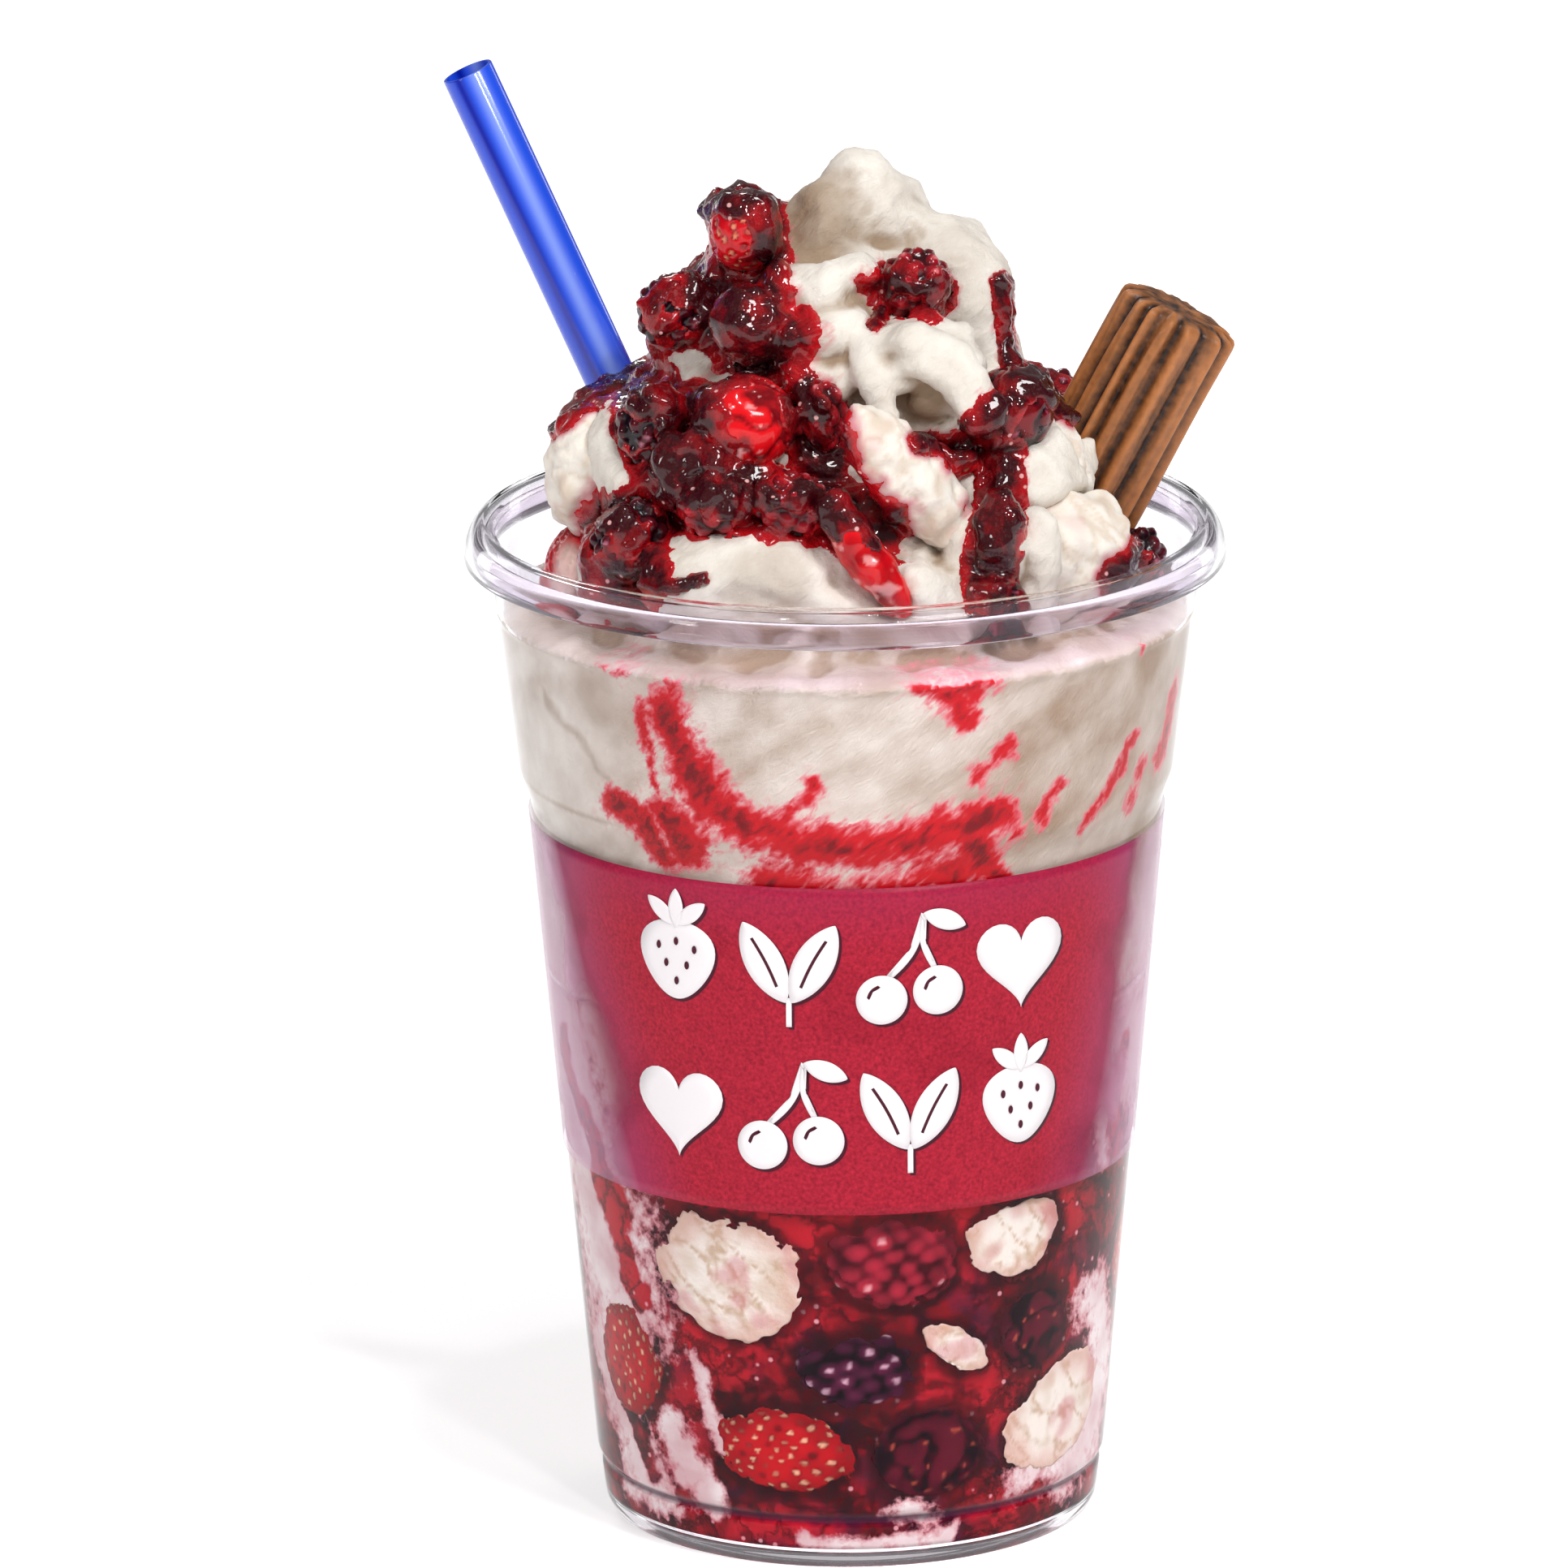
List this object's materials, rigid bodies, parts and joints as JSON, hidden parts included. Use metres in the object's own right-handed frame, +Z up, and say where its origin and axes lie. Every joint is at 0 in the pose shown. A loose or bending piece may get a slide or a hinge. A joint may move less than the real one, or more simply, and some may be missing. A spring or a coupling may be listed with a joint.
{
  "type": "eton mess in a clear cup",
  "caption": "Tall clear plastic cup of whipped cream, berry compote, whole berries and meringue, with a printed band, a drinking straw and a ribbed chocolate stick.",
  "frame": {"origin": "centre of the cup's base, on the surface it stands on", "axes": "+Z up along the cup's axis, +X to the right seen from the front, where the chocolate stick leans, and the front faces -Y"},
  "size_m": [0.098, 0.095, 0.1842],
  "materials": {
    "clear_plastic": "clear moulded plastic, glossy",
    "printed_film": "thin translucent printed film, satin",
    "blue_plastic": "extruded plastic, glossy",
    "chocolate": "milk chocolate, dull and ribbed",
    "whipped_cream": "soft whipped cream with berry sauce",
    "berry_compote": "wet stewed berries in sauce",
    "red_berry": "wet red fruit",
    "dark_berry": "wet dark fruit",
    "meringue": "dry baked meringue, matt"
  },
  "bodies": {
    "root": {"cup": "clear_plastic", "printed_band": "printed_film", "straw": "blue_plastic", "chocolate_stick": "chocolate", "berry_compote": "berry_compote", "whipped_cream": "whipped_cream", "strawberry_top": "red_berry", "bramble_high_left": "dark_berry", "cherry_dark": "dark_berry", "cherry_bright": "dark_berry", "bramble_left": "dark_berry", "raspberry_middle": "dark_berry", "raspberry_hollow": "dark_berry", "cherry_right": "dark_berry", "strawberry_slice_flat": "red_berry", "bramble_low_left": "dark_berry", "strawberry_slice_long": "red_berry", "raspberry_low_left": "dark_berry", "raspberry_low_right": "dark_berry", "cherry_rim_front": "dark_berry", "bramble_far_right": "dark_berry", "strawberry_wedge_left": "red_berry", "strawberry_back_top": "red_berry", "cherry_back": "dark_berry", "raspberry_back": "dark_berry", "bramble_back_right": "dark_berry", "strawberry_back_low": "red_berry", "meringue_ridge": "meringue", "meringue_left": "meringue", "meringue_right": "meringue", "meringue_oval": "meringue", "meringue_high_right": "meringue", "meringue_back": "meringue", "meringue_back_left": "meringue", "meringue_low_left": "meringue", "strawberry_low": "red_berry", "strawberry_low_far_left": "red_berry", "bramble_low": "dark_berry", "cherry_low": "dark_berry", "raspberry_low": "dark_berry", "meringue_low_right": "meringue", "almond_low": "meringue", "cherry_low_right": "dark_berry", "meringue_low_far_right": "meringue", "strawberry_low_side": "red_berry", "meringue_low_back_right": "meringue", "raspberry_low_back": "dark_berry", "strawberry_low_back": "red_berry", "meringue_low_back_left": "meringue", "bramble_low_back": "dark_berry", "cherry_low_side": "dark_berry"}
  },
  "joints": []
}
